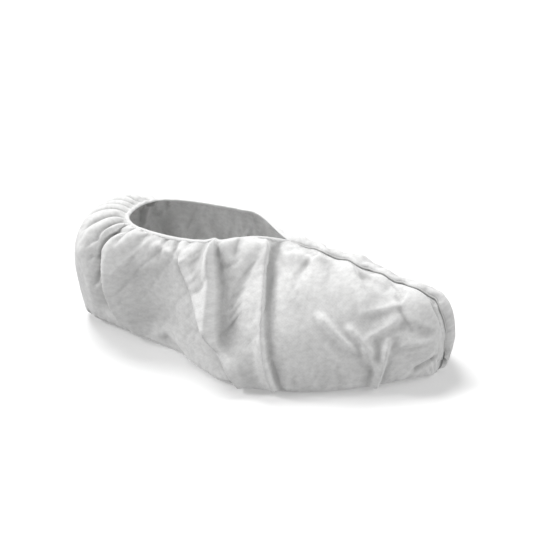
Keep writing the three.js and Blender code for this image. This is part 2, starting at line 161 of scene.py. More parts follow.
# The cut's surplus over the worn outline, and the simulation that draws it in
SURPLUS = {"side": 0.01, "toe": 0.03, "heel rim": 0.14, "side rim": 0.04, "height": 0.012}
RIM_DEPTH = 26.0           # how far down the rim's own surplus reaches
RIM_END = (5.0, 1.6)       # section where that surplus starts to fade, and over how many sections it does
CUT_MIDDLE = (-20.0, 0.0)  # the cut is widened from here
COLUMNS_PER_SECTION = 24
WALL_ROWS = 68
SOLE_ROWS = 16
SOLE_MAP_AT = (0, -200)    # keeps the sole's map clear of the wall's
SIM_SCALE = 10.0           # simulated ten times as large, which suits the solver's step
DRAW_FRAMES = 10
SETTLE_FRAMES = 20
STUFFING = 1.4             # light pressure of what fills the cover
SMOOTH_PARTS = ((130, 48, 0.85), (275, 55, 0.6))   # smoother near parts: place along, half length, share
SMOOTH_DEPTH = 40.0        # how far below the rim those parts have their full share

# Painted highlight where the cloth stands out in a crease, and painted shade in its hollows
PAINTED_CREASE_LIGHT = {"per_mm": 0.22, "least": 0.64, "most": 1.07}
CREASE_REACH = (9, 5)      # columns and rows around a point that count as its surroundings
INSIDE_SHOWN = 45.0        # how far down the far wall the opening shows its plain inside, where the painted crease light is weaker
CLOTH_LIGHT = (0.93, 0.93, 0.925)
CLOTH_DARK = (0.73, 0.73, 0.725)
GRAIN_SIZES = {"Bond Pitch": 1.7, "Cloud Size": 4.5, "Fibre Size": 0.8}
GRAIN_SHARES = {"fibre relief": 0.9, "cloud shade": 0.9, "bond shade": 0.1}
GRAIN_RELIEF = 0.12
BOND_EDGE = (0.18, 0.36)   # inner and outer edge of a bond point, in bond pitches
NOISE_SPAN = (0.3, 0.7)    # part of the noise that is spread over the full range
MIX_COLOURS = {"dark": 6, "light": 7, "result": 2}   # places of a mix node's colour sockets


def smooth(value):
    """An even step from 0 to 1 that starts and ends flat."""
    value = np.clip(value, 0, 1)
    return value * value * (3 - 2 * value)


def mix(start, end, share):
    return start + (end - start) * share


def unit(vectors):
    return vectors / np.maximum(np.linalg.norm(vectors, axis=-1, keepdims=True), 1e-9)


def lengths(line):
    """Length along a line of points, from its start to each of them."""
    return np.concatenate([[0], np.cumsum(np.linalg.norm(np.diff(line, axis=0), axis=1))])


def waves(places, rows):
    """Sum of the waves in a table."""
    return sum(size * np.sin(places / length + start) for size, length, start in rows)


def knot(station):
    """Guide values of one section: foot, top, lean, belly, shoulder, lift and rise."""
    row = dict(zip(SECTION_COLUMNS, list(SECTIONS.values())[abs(station)]))
    side, sign = ("near", -1) if station >= 0 else ("far", 1)
    heading = math.radians(row["heading"])
    return (row["foot_x"], row[side + "_y"], row["top_x"], row["top_" + side], row["top_z"],
            math.cos(heading), sign * math.sin(heading),
            row["belly"], row["shoulder"], row[side + "_lift"], row["rise"] * row["top_z"])


def guides(stations):
    """Smooth curves through the sections' guide values, far toe tip to near toe tip."""
    knots = np.array([knot(i) for i in range(-LAST, LAST + 1)], float)
    ends = np.vstack([2 * knots[0] - knots[1], knots, 2 * knots[-1] - knots[-2]])
    place = np.clip(stations + LAST, 0, 2 * LAST)
    i = np.minimum(place.astype(int), 2 * LAST - 1)
    t = (place - i)[:, None]
    a, b, c, d = (ends[i + k] for k in range(4))
    return 0.5 * (2 * b + (c - a) * t + (2 * a - 5 * b + 4 * c - d) * t**2 + (3 * b - a - 3 * c + d) * t**3)


def smooth_wall(stations, heights):
    """Points of the wall before any fold. Heights are shares of each section's own length."""
    shares = np.linspace(0, 1, PROFILE_STEPS + 1)
    flat = np.zeros(len(stations))
    values = guides(stations)
    run = unit((guides(stations + SECTION_NUDGE) - guides(stations - SECTION_NUDGE))[:, :2])
    aside = np.stack([run[:, 1], -run[:, 0], flat], 1)
    foot = np.stack([values[:, 0], values[:, 1], flat], 1)
    top = values[:, 2:5].copy()
    sewn = np.abs(stations) > THROAT
    top[sewn, 1] = -np.sign(stations[sewn]) * SEAM_EDGE
    lean = unit(np.stack([values[:, 5], values[:, 6], flat], 1))
    belly, shoulder, lift, rise = (values[:, k, None] for k in range(7, 11))
    up = np.array([0, 0, 1.0])
    low = foot + aside * belly + up * rise
    high = top + lean * shoulder + up * lift

    def profile(t):
        """Points of each section's curve from foot to top."""
        t = t[..., None]
        parts = ((1 - t)**3, foot), (3 * (1 - t)**2 * t, low), (3 * (1 - t) * t**2, high), (t**3, top)
        return sum(share * point[:, None] for share, point in parts)

    steps = np.linalg.norm(np.diff(profile(np.tile(shares, (len(stations), 1))), axis=1), axis=2)
    length = np.concatenate([flat[:, None], np.cumsum(steps, 1)], 1)
    points = profile(np.stack([np.interp(heights * row[-1], row, shares) for row in length]))
    bend = FOOT_ROUND * smooth((top[:, 2:] - TIP_TOP[0]) / (TIP_TOP[1] - TIP_TOP[0]))
    below = np.maximum(bend - points[..., 2], 0)
    tuck = np.sqrt(np.maximum(bend**2 - below**2, 0)) - bend
    return points + aside[:, None] * tuck[..., None]


def fold_parts(fold, along, up):
    """Height of one fold over the wall, and how far it tips over along the wall."""
    row = dict(zip(FOLD_COLUMNS, fold))
    run = np.array([row["along1"] - row["along0"], row["up1"] - row["up0"]], float)
    length = np.hypot(*run)
    run /= length
    from_along = along - row["along0"]
    from_up = up - row["up0"]
    t = (from_along * run[0] + from_up * run[1]) / length
    waver = WAVER[0] * np.sin(t * length / WAVER[1] + row["along0"])
    aside = run[0] * from_up - run[1] * from_along - row["bow"] * 4 * t * (1 - t) - waver
    reach = np.where(aside > 0, row["front"], row["back"])
    distance = (np.hypot(aside, FOLD_ROUND) - FOLD_ROUND) / reach
    slope = np.maximum(1 - (distance if row["height"] > 0 else distance**2), 0)
    height = row["height"] * slope**2 * smooth(t / FOLD_FADE) * smooth((1 - t) / FOLD_FADE)
    return np.stack([height, height * row["lean"]], -1)


def crumples(along, up):
    """Straight fine creases that cross in patches."""
    total = 0
    for number, (direction, spacing, height, patch) in enumerate(CRUMPLES):
        angle = math.radians(direction)
        across = along * math.cos(angle) + up * math.sin(angle)
        length = up * math.cos(angle) - along * math.sin(angle)
        crease = np.abs((across / spacing + CRUMPLE_BEND * np.sin(length / patch + number)) % 2 - 1)
        patches = np.sin(along / patch + 2 * number) * np.sin(up / patch + number)
        total = total + height * crease * (0.5 + 0.5 * patches)
    return total


def beside_heel(station):
    """Grows from 0 at the heel to 1 along the sides."""
    return smooth((np.abs(station) - HEEL_SPAN[0]) / (HEEL_SPAN[1] - HEEL_SPAN[0]))


def calm(station):
    """Less on the far wall, which lies smoother than the near one."""
    return 1 - FAR_CALM[0] * smooth((-station - FAR_CALM[1]) / FAR_CALM[2])


def relief(station, along, up, drop):
    """Over the smooth wall: the folds with their lean, and the gathers with the seam's roll."""
    is_open = 1 - smooth((np.abs(station) - THROAT + BLEND) / (2 * BLEND))
    heel = 1 - beside_heel(station)
    foot_hold = smooth(up / FOOT_HOLD)
    rim_hold = mix(RIM_HOLD[0], 1, smooth(drop / RIM_HOLD[1]))
    hold = mix(smooth(drop / SEAM_HOLD), rim_hold, is_open) * foot_hold
    folds = sum(fold_parts(fold, along, up) for fold in FOLDS.values())
    phase = along / PUFF_PITCH + waves(along, PUFF_DRIFTS)
    puff = np.abs(np.sin(np.pi * phase))**PUFF_ROUNDNESS - PUFF_BASE
    puff_height = mix(PUFF_HEIGHT["side"], PUFF_HEIGHT["heel"], heel)
    puff_reach = mix(PUFF_REACH["side"], PUFF_REACH["heel"], heel)
    gathers = is_open * puff_height * puff * np.exp(-(drop / puff_reach)**2) * calm(station)
    near_roll = mix(ROLL_HEIGHT["near"], ROLL_HEIGHT["near tip"], smooth(station - ROLL_TIP))
    roll_height = np.where(station > 0, near_roll, ROLL_HEIGHT["far"])
    roll = (1 - is_open) * roll_height * drop / ROLL_CREST * np.exp(1 - drop / ROLL_CREST)
    return folds * hold[..., None], (gathers * hold + roll * foot_hold)[..., None]


def crease_height(points):
    """How far each point of the wall stands out from its surroundings, in millimetres."""
    around = points
    for axis, reach in enumerate(CREASE_REACH):
        weights = np.hanning(2 * reach + 3)[1:-1]
        margin = [(0, 0)] * 3
        margin[axis] = (reach, reach)
        padded = np.pad(around, margin, mode="reflect", reflect_type="odd")
        count = around.shape[axis]
        shifted = [np.take(padded, range(k, k + count), axis) * weight for k, weight in enumerate(weights)]
        around = sum(shifted) / weights.sum()
    facing = unit(np.cross(np.gradient(around, axis=0), np.gradient(around, axis=1)))
    return ((points - around) * facing).sum(2)


def grid_faces(columns, rows):
    """Quads of a grid whose points run up each column in turn."""
    i, j = np.meshgrid(np.arange(columns - 1) * rows, np.arange(rows - 1), indexing="ij")
    first = (i + j).ravel()
    return np.stack([first, first + rows, first + rows + 1, first + 1], 1).tolist()


def draw_in(cut, worn):
    """Simulates the cloth from its wider cut while its edges are drawn in to the worn outline."""
    columns, rows = cut.shape[:2]
    mesh = bpy.data.meshes.new("drawn_cloth")
    mesh.from_pydata((cut * MM * SIM_SCALE).reshape(-1, 3).tolist(), [], grid_faces(columns, rows))
    sheet = bpy.data.objects.new("drawn_cloth", mesh)
    scene.collection.objects.link(sheet)
    sheet.shape_key_add(name="cut")
    key = sheet.shape_key_add(name="worn")
    key.data.foreach_set("co", (worn * MM * SIM_SCALE).ravel())
    for frame_number, value in ((1, 0.0), (DRAW_FRAMES, 1.0)):
        key.value = value
        key.keyframe_insert("value", frame=frame_number)
    edge = np.ones((columns, rows), bool)
    edge[1:-1, 1:-1] = False
    held = sheet.vertex_groups.new(name="held")
    held.add(np.flatnonzero(edge).tolist(), 1.0, "REPLACE")
    modifier = sheet.modifiers.new("cloth", "CLOTH")
    settings = modifier.settings
    settings.vertex_group_mass = "held"
    settings.quality = 6
    settings.mass = 0.1
    settings.effector_weights.gravity = 0
    settings.air_damping = 2
    settings.tension_stiffness = 40
    settings.compression_stiffness = 40
    settings.shear_stiffness = 20
    settings.bending_stiffness = 0.4
    settings.use_pressure = True
    settings.uniform_pressure_force = STUFFING
    modifier.collision_settings.use_collision = False
    for frame_number in range(1, SETTLE_FRAMES + 1):
        scene.frame_set(frame_number)
    drawn = sheet.evaluated_get(bpy.context.evaluated_depsgraph_get())
    points = np.zeros(cut.size)
    drawn.data.vertices.foreach_get("co", points)
    bpy.data.objects.remove(sheet)
    bpy.data.meshes.remove(mesh)
    scene.frame_set(1)
    return points.reshape(cut.shape) / (MM * SIM_SCALE)


def new_piece(name, points, faces, uvs, material):
    """A smooth-shaded piece. Points are in millimetres from the seam's axes, each with its own uv pair."""
    placed = (np.asarray(points, float) + (*SEAM_AT, 0)) * MM
    mesh = bpy.data.meshes.new(name)
    mesh.from_pydata(placed.tolist(), [], faces)
    corners = np.zeros(len(mesh.loops), int)
    mesh.loops.foreach_get("vertex_index", corners)
    layer = mesh.uv_layers.new(name="cloth")
    layer.data.foreach_set("uv", (np.asarray(uvs, float)[corners] * MM).ravel())
    mesh.shade_smooth()
    mesh.materials.append(material)
    piece = bpy.data.objects.new(name, mesh)
    scene.collection.objects.link(piece)
    return piece


def thicken(piece):
    """Gives a piece the thickness of the cloth, inwards from its outer face."""
    thickness = piece.modifiers.new("thickness", "SOLIDIFY")
    thickness.thickness = CLOTH * MM
    thickness.offset = -1


def math_node(tree, operation, *values):
    """Output of a math node whose inputs are numbers or other outputs."""
    node = tree.nodes.new("ShaderNodeMath")
    node.operation = operation
    for socket, value in zip(node.inputs, values):
        if isinstance(value, bpy.types.NodeSocket):
            tree.links.new(value, socket)
        else:
            socket.default_value = value
    return node.outputs[0]


def range_node(tree, value, span, least, most):
    """Output of a node that spreads the span of a value from least to most."""
    node = tree.nodes.new("ShaderNodeMapRange")
    tree.links.new(value, node.inputs["Value"])
    node.inputs["From Min"].default_value = span[0]
    node.inputs["From Max"].default_value = span[1]
    node.inputs["To Min"].default_value = least
    node.inputs["To Max"].default_value = most
    return node.outputs["Result"]


def cloth_grain():
    """Shader group of spunbond cloth: cloudy fibres and a diagonal grid of small bond points."""
    group = bpy.data.node_groups.new("cloth_grain", "ShaderNodeTree")
    face = group.interface
    face.new_socket("Place", in_out="INPUT", socket_type="NodeSocketVector")
    for name, value in GRAIN_SIZES.items():
        face.new_socket(name, in_out="INPUT", socket_type="NodeSocketFloat").default_value = value
    for name in ("Light", "Dark"):
        face.new_socket(name, in_out="INPUT", socket_type="NodeSocketColor")
    face.new_socket("Color", in_out="OUTPUT", socket_type="NodeSocketColor")
    face.new_socket("Height", in_out="OUTPUT", socket_type="NodeSocketFloat")
    nodes, links = group.nodes, group.links
    given = nodes.new("NodeGroupInput")
    result = nodes.new("NodeGroupOutput")

    def per_millimetre(size):
        return math_node(group, "DIVIDE", 1 / MM, given.outputs[size])

    def noise(size, detail, roughness, most):
        node = nodes.new("ShaderNodeTexNoise")
        node.inputs["Detail"].default_value = detail
        node.inputs["Roughness"].default_value = roughness
        links.new(given.outputs["Place"], node.inputs["Vector"])
        links.new(per_millimetre(size), node.inputs["Scale"])
        return range_node(group, node.outputs["Fac"], NOISE_SPAN, 0.0, most)

    turned = nodes.new("ShaderNodeMapping")
    turned.inputs["Rotation"].default_value = (0, 0, math.radians(45))
    links.new(given.outputs["Place"], turned.inputs["Vector"])
    bonds = nodes.new("ShaderNodeTexVoronoi")
    bonds.voronoi_dimensions = "2D"
    bonds.inputs["Randomness"].default_value = 0.0
    links.new(turned.outputs["Vector"], bonds.inputs["Vector"])
    links.new(per_millimetre("Bond Pitch"), bonds.inputs["Scale"])
    bond_relief = range_node(group, bonds.outputs["Distance"], BOND_EDGE, 0.0, 1.0)
    bond_shade = range_node(group, bonds.outputs["Distance"], BOND_EDGE, 0.0, GRAIN_SHARES["bond shade"])
    fibre_relief = noise("Fibre Size", 3.0, 0.65, GRAIN_SHARES["fibre relief"])
    cloud_shade = noise("Cloud Size", 4.0, 0.6, GRAIN_SHARES["cloud shade"])
    links.new(math_node(group, "ADD", bond_relief, fibre_relief), result.inputs["Height"])
    colour = nodes.new("ShaderNodeMix")
    colour.data_type = "RGBA"
    links.new(math_node(group, "ADD", cloud_shade, bond_shade), colour.inputs["Factor"])
    links.new(given.outputs["Dark"], colour.inputs[MIX_COLOURS["dark"]])
    links.new(given.outputs["Light"], colour.inputs[MIX_COLOURS["light"]])
    links.new(colour.outputs[MIX_COLOURS["result"]], result.inputs["Color"])
    return group


def painted_crease_shade(tree, place):
    """Share of the colour: painted highlight where the cloth stands out, painted shade in its hollows."""
    crease = tree.nodes.new("ShaderNodeAttribute")
    crease.attribute_name = "crease"
    least, most = PAINTED_CREASE_LIGHT["least"], PAINTED_CREASE_LIGHT["most"]
    span = ((least - 1) / PAINTED_CREASE_LIGHT["per_mm"], (most - 1) / PAINTED_CREASE_LIGHT["per_mm"])
    return range_node(tree, crease.outputs["Fac"], span, least, most)


def cloth_material(name, light, dark, shade=None):
    """A matt cloth that wears the grain group along its own map, with painted shade where one is given."""
    material = bpy.data.materials.new(name)
    material.use_nodes = True
    tree = material.node_tree
    shader = tree.nodes["Principled BSDF"]
    shader.inputs["Roughness"].default_value = 0.9
    shader.inputs["Specular IOR Level"].default_value = 0.25
    shader.inputs["Sheen Weight"].default_value = 0.5
    shader.inputs["Sheen Roughness"].default_value = 0.5
    place = tree.nodes.new("ShaderNodeUVMap")
    place.uv_map = "cloth"
    grain = tree.nodes.new("ShaderNodeGroup")
    grain.node_tree = GRAIN
    grain.inputs["Light"].default_value = (*light, 1)
    grain.inputs["Dark"].default_value = (*dark, 1)
    tree.links.new(place.outputs["UV"], grain.inputs["Place"])
    colour = grain.outputs["Color"]
    if shade:
        shaded = tree.nodes.new("ShaderNodeVectorMath")
        shaded.operation = "SCALE"
        tree.links.new(colour, shaded.inputs[0])
        tree.links.new(shade(tree, place.outputs["UV"]), shaded.inputs["Scale"])
        colour = shaded.outputs["Vector"]
    tree.links.new(colour, shader.inputs["Base Color"])
    bump = tree.nodes.new("ShaderNodeBump")
    bump.inputs["Distance"].default_value = GRAIN_RELIEF * MM
    bump.inputs["Strength"].default_value = 0.35
    tree.links.new(grain.outputs["Height"], bump.inputs["Height"])
    tree.links.new(bump.outputs["Normal"], shader.inputs["Normal"])
    return material


# The smooth wall as a grid: a column of points for each station, and each point's place on the wall
stations = np.linspace(-LAST, LAST, 2 * LAST * COLUMNS_PER_SECTION + 1)
heights = np.linspace(0, 1, WALL_ROWS + 1)
half = len(stations) // 2
bare = smooth_wall(stations, heights)
column_along = lengths(bare[:, WALL_ROWS // 2])
column_along -= column_along[half]
wall_length = np.linalg.norm(np.diff(bare, axis=1), axis=2).sum(1)
along_grid, up_grid = np.broadcast_arrays(column_along[:, None], wall_length[:, None] * heights)
drop_grid = wall_length[:, None] - up_grid
station_grid = np.broadcast_to(stations[:, None], up_grid.shape)
forward = unit(np.gradient(bare, axis=0))
outward = unit(np.cross(np.gradient(bare, axis=0), np.gradient(bare, axis=1)))

# The worn outline, with part of the folds, the gathers, the heel's swell, the rim's hump and the wavy seam
folds, gathers = relief(station_grid, along_grid, up_grid, drop_grid)
swell_along = along_grid / HEEL_SWELL["half"]
swell_up = (up_grid - HEEL_SWELL["up"]) / HEEL_SWELL["half_up"]
heel_swell = HEEL_SWELL["height"] * np.exp(-swell_along**2 - swell_up**2)
worn = bare + outward * (folds[..., :1] * (1 - PRESSED) + gathers + heel_swell[..., None])
hump_along = (along_grid - RIM_HUMP["along"]) / RIM_HUMP["half"]
hump_drop = drop_grid / RIM_HUMP["depth"]
worn[..., 2] += RIM_HUMP["height"] * np.exp(-hump_along**2 - hump_drop**2)
half_seam = lengths(bare[half:, -1])
seam_run = np.concatenate([half_seam[:0:-1], half_seam])[:, None]
toe = smooth(np.abs(station_grid) - THROAT)
near_seam = np.exp(-drop_grid / PUCKER_REACH) * toe * smooth(up_grid / FOOT_HOLD)
worn[..., 1] += waves(seam_run, PUCKERS) * near_seam
worn[..., 2] += waves(seam_run, SCALLOPS) * near_seam

# The wider cut that the simulation starts from
rim_end = smooth((np.abs(station_grid) - RIM_END[0]) / RIM_END[1])
near_rim = np.exp(-(drop_grid / RIM_DEPTH)**2) * (1 - rim_end)
rim_surplus = mix(SURPLUS["heel rim"], SURPLUS["side rim"], beside_heel(station_grid))
wider = 1 + SURPLUS["side"] + (rim_surplus - SURPLUS["side"]) * near_rim
wider = wider + (SURPLUS["toe"] - SURPLUS["side"]) * toe
taller = np.full_like(wider, 1 + SURPLUS["height"])
cut_middle = np.array([*CUT_MIDDLE, 0])
cut = cut_middle + (worn - cut_middle) * np.stack([wider, wider, taller], 2)


def press_folds(points):
    """Adds the pressed share of the folds to the drawn cloth, by where each point lies on the wall."""
    wall_tree = KDTree(bare[..., 0].size)
    for index, point in enumerate(bare.reshape(-1, 3)):
        wall_tree.insert(point, index)
    wall_tree.balance()
    nearest = np.array([wall_tree.find(point)[1] for point in points.reshape(-1, 3)])
    nearest = nearest.reshape(points.shape[:2])

    def there(values):
        """Values of the wall's grid at the place nearest to each point."""
        return values.reshape(-1, *values.shape[2:])[nearest]

    aside = points - there(bare)
    column_run = np.gradient(bare, axis=0)
    column_step = np.gradient(column_along)[:, None, None]
    along_slope = column_run * column_step / (column_run**2).sum(2, keepdims=True)
    up_slope = unit(np.gradient(bare, axis=1))
    along = there(along_grid) + (aside * there(along_slope)).sum(2)
    up_shift = (aside * there(up_slope)).sum(2)
    up = there(up_grid) + up_shift
    drop = there(drop_grid) - up_shift
    folds, gathers = relief(there(station_grid), along, up, drop)
    creases = crumples(along, up) * smooth(up / FOOT_HOLD) * smooth(drop / SEAM_HOLD)
    gathers = gathers * GATHERS_PRESSED * smooth(drop / EDGE_HOLD)[..., None]
    height = folds[..., :1] * PRESSED + gathers + creases[..., None]
    return points + there(outward) * height + there(forward) * folds[..., 1:] * PRESSED


# The drawn cloth, then its smoother parts and its pressed folds, all kept above the floor
wall_points = draw_in(cut, worn)
smooth_share = np.max([share * np.exp(-((along_grid - place) / half_length)**2)
                       for place, half_length, share in SMOOTH_PARTS], axis=0)
smooth_share = smooth_share * smooth(drop_grid / SMOOTH_DEPTH)
wall_points = press_folds(mix(wall_points, worn, smooth_share[..., None]))
wall_points[..., 2] = np.maximum(wall_points[..., 2], 0)

# The sole joins the near foot line to the far one, with a fan of triangles at the heel
near_foot = wall_points[half:, 0]
far_foot = wall_points[half::-1, 0]
sole_shares = np.linspace(0, 1, SOLE_ROWS + 1)[1:-1]
sole_points = near_foot[1:, None] + (far_foot - near_foot)[1:, None] * sole_shares[:, None]
rows = WALL_ROWS + 1
sole_start = len(stations) * rows
sole_inner = (sole_start + np.arange(half * len(sole_shares))).reshape(half, len(sole_shares))
near_edge = (half + 1 + np.arange(half))[:, None] * rows
far_edge = (half - 1 - np.arange(half))[:, None] * rows
sole_grid = np.hstack([near_edge, sole_inner, far_edge])
sole_faces = np.stack([sole_grid[:-1, :-1], sole_grid[:-1, 1:], sole_grid[1:, 1:], sole_grid[1:, :-1]], -1)
heel_point = half * rows
heel_faces = [(heel_point, int(b), int(a)) for a, b in zip(sole_grid[0, :-1], sole_grid[0, 1:])]
faces = grid_faces(len(stations), rows) + sole_faces.reshape(-1, 4).tolist() + heel_faces
sole_points = sole_points.reshape(-1, 3)
points = np.concatenate([wall_points.reshape(-1, 3), sole_points])
wall_uvs = np.stack([along_grid, up_grid], 2).reshape(-1, 2)
sole_uvs = sole_points[:, :2] + SOLE_MAP_AT

GRAIN = cloth_grain()
NONWOVEN = cloth_material("nonwoven", CLOTH_LIGHT, CLOTH_DARK, painted_crease_shade)
cloth = new_piece("shoe_cover_cloth", points, faces, np.concatenate([wall_uvs, sole_uvs]), NONWOVEN)
# How far the cloth stands out drives the painted crease highlight and shade, weaker high on the far wall
crease = crease_height(wall_points) - crease_height(bare)
crease *= 1 - (1 - calm(station_grid)) * np.exp(-(drop_grid / INSIDE_SHOWN)**2)
crease_values = np.concatenate([crease.ravel(), np.zeros(len(sole_points))])
cloth.data.attributes.new("crease", "FLOAT", "POINT").data.foreach_set("value", crease_values)
thicken(cloth)
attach(cloth, "root")
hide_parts("cloth_body")

# Opening hem
# The cloth's top edge is turned over a thin elastic and sewn down, all round the opening. The elastic is
# short, so the turned edge stands in small puckers. Both ends run into the seam at the throat point.
HEM_WIDTH = 3.6
HEM_THICKNESS = 2.2
HEM_SIDES = 16
HEM_STEP = 0.55            # distance between the hem's rings along the rim
HEM_TAPER = 9.0            # length over which both ends run into the seam
HEM_LEAST = 0.05           # the ends keep the square root of this share
HEM_WIDENING = (1.1, 45.0)   # the hem spreads out towards its far end: by what share, over what length
HEM_OVERLAP = 0.4          # the hem stands this far above the cloth's edge
HEM_ROWS = 4               # rows of cloth below the rim that give the hem its direction
HEM_GATHER = 1.8           # how much more cloth than length there is along the hem
PUCKER_PITCH = 4.6
PUCKER_DRIFTS = ((0.30, 17.0, 0.0), (0.18, 7.3, 2.0))
PUCKER_DEPTH = 0.16        # share of the hem's radius
PUCKER_SLANT = 0.5         # how far a pucker slants on its way round the hem
PUCKER_ROUNDNESS = 0.7
HEM_LIGHT = (0.91, 0.91, 0.905)
HEM_DARK = (0.84, 0.84, 0.835)


def along_rim(values):
    """Values of the rim's columns, spread evenly along the rim."""
    return np.stack([np.interp(hem_places, rim_length, column) for column in values.T], 1)


opening = np.abs(stations) <= THROAT
rim = wall_points[opening, -1]
rim_length = lengths(rim)
hem_places = np.linspace(0, rim_length[-1], int(rim_length[-1] / HEM_STEP) + 1)
rim_line = along_rim(rim)
rim_down = unit(along_rim(unit(wall_points[opening, -1 - HEM_ROWS] - rim)))
rim_ahead = unit(np.gradient(rim_line, axis=0))
rim_out = unit(np.cross(rim_down, rim_ahead))
rim_down = unit(np.cross(rim_ahead, rim_out))
hem_ends = np.minimum(hem_places, hem_places[-1] - hem_places) / HEM_TAPER
fullness = np.sqrt(np.clip(hem_ends, HEM_LEAST, 1))
angles = np.linspace(0, 2 * math.pi, HEM_SIDES, endpoint=False)
pucker_phase = hem_places / PUCKER_PITCH + waves(hem_places, PUCKER_DRIFTS)
pucker_turn = math.pi * pucker_phase[:, None] + PUCKER_SLANT * np.sin(angles)
pucker = np.abs(np.sin(pucker_turn))**PUCKER_ROUNDNESS
hem_swell = fullness[:, None] * (1 - PUCKER_DEPTH + PUCKER_DEPTH * pucker)
widened = 1 + HEM_WIDENING[0] * np.exp(-(hem_places / HEM_WIDENING[1])**2)
hem_across = HEM_WIDTH / 2 * (1 - np.cos(angles)) * hem_swell * widened[:, None] - HEM_OVERLAP
hem_aside = HEM_THICKNESS / 2 * np.sin(angles) * hem_swell
hem_points = rim_line[:, None] + rim_down[:, None] * hem_across[..., None]
hem_points = hem_points + rim_out[:, None] * hem_aside[..., None]
hem_uvs = np.stack(np.broadcast_arrays(hem_places[:, None] * HEM_GATHER, angles * HEM_WIDTH / 2), 2)
rings = np.arange(len(hem_places))[:, None] * HEM_SIDES
turn = np.arange(HEM_SIDES)
here = rings[:-1] + turn
beside = rings[:-1] + (turn + 1) % HEM_SIDES
hem_faces = np.stack([here, here + HEM_SIDES, beside + HEM_SIDES, beside], 2).reshape(-1, 4).tolist()
hem_faces += [turn.tolist(), (rings[-1] + turn[::-1]).tolist()]
HEM_CLOTH = cloth_material("hem_cloth", HEM_LIGHT, HEM_DARK)
hem = new_piece("opening_hem_band", hem_points.reshape(-1, 3), hem_faces, hem_uvs.reshape(-1, 2), HEM_CLOTH)
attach(hem, "root")
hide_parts("opening_hem")

# Front seam
# Both edges of the cloth are turned in and sewn together, from the throat point over the toe and down to
# the floor. Outside it is a narrow puckered groove with painted shade inside, and it flattens out at its
# foot.
GROOVE = ((0.0, 0.0), (0.15, 0.15), (0.35, 0.6),
          (0.5, 1.5), (0.6, 3.0), (0.65, 5.0))   # share of the way to the middle, and depth
GROOVE_MIDDLE = len(GROOVE) - 0.5   # on the groove's own map, one millimetre for each line of points
GROOVE_PAINTED_SHADE_SPAN = (3.0, 4.9)   # from the middle on that map: where the painted shade starts to fade, and where it ends
GROOVE_PAINTED_SHADE = 0.28        # share of the cloth's colour left at the bottom, as painted shade
GROOVE_END = 30.0          # length over which the groove flattens out towards the floor


def painted_groove_shade(tree, place):
    """Share of the colour across the groove, from its own map, with painted shade towards its bottom."""
    parts = tree.nodes.new("ShaderNodeSeparateXYZ")
    tree.links.new(place, parts.inputs["Vector"])
    from_middle = math_node(tree, "SUBTRACT", parts.outputs["Y"], GROOVE_MIDDLE * MM)
    distance = math_node(tree, "ABSOLUTE", from_middle)
    return range_node(tree, distance, [edge * MM for edge in GROOVE_PAINTED_SHADE_SPAN], GROOVE_PAINTED_SHADE, 1.0)


near_line = np.concatenate([wall_points[stations >= THROAT, -1], wall_points[-1, -2::-1]])
far_line = np.concatenate([wall_points[stations <= -THROAT, -1][::-1], wall_points[0, -2::-1]])
seam_middle = (near_line + far_line) / 2
seam_ahead = unit(np.gradient(seam_middle, axis=0))
seam_out = unit(np.cross(seam_ahead, np.array([0, 1.0, 0])))
seam_places = lengths(seam_middle)
sunk = smooth((seam_places[-1] - seam_places) / GROOVE_END)[:, None]
inward = seam_out * sunk
from_near = [mix(near_line, seam_middle, share) - inward * depth for share, depth in GROOVE]
from_far = [mix(far_line, seam_middle, share) - inward * depth for share, depth in reversed(GROOVE)]
groove = np.stack(from_near + from_far, 1)
groove[..., 2] = np.maximum(groove[..., 2], 0)
# Where the groove flattens, its map moves outwards, so the painted shade fades towards the floor
from_middle = np.arange(groove.shape[1]) - GROOVE_MIDDLE
flattened = np.maximum(np.abs(from_middle), (1 - sunk) * GROOVE_MIDDLE)
seam_across = GROOVE_MIDDLE + np.sign(from_middle) * flattened
seam_uvs = np.stack(np.broadcast_arrays(seam_places[:, None], seam_across), 2)
seam_faces = [face[::-1] for face in grid_faces(*groove.shape[:2])]
PAINTED_SHADE_GROOVE_CLOTH = cloth_material("groove_cloth_painted_shade", CLOTH_LIGHT, CLOTH_DARK, painted_groove_shade)
groove_points = groove.reshape(-1, 3)
seam = new_piece("front_seam_groove", groove_points, seam_faces, seam_uvs.reshape(-1, 2), PAINTED_SHADE_GROOVE_CLOTH)
thicken(seam)
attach(seam, "root")
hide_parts("front_seam")

# Seam thread
# White sewing thread joins the two cloth edges with even stitches. It lies sunk in the seam's groove and
# stops where the groove flattens out above the floor.
THREAD = {"Stitch Pitch": 3.2, "Stitch Length": 2.7, "Thread Thickness": 0.55}
THREAD_DEPTH = 2.0
THREAD_STOP = 0.9          # the thread lies where at least this share of the groove's depth is left
THREAD_COLOUR = (0.76, 0.76, 0.75)


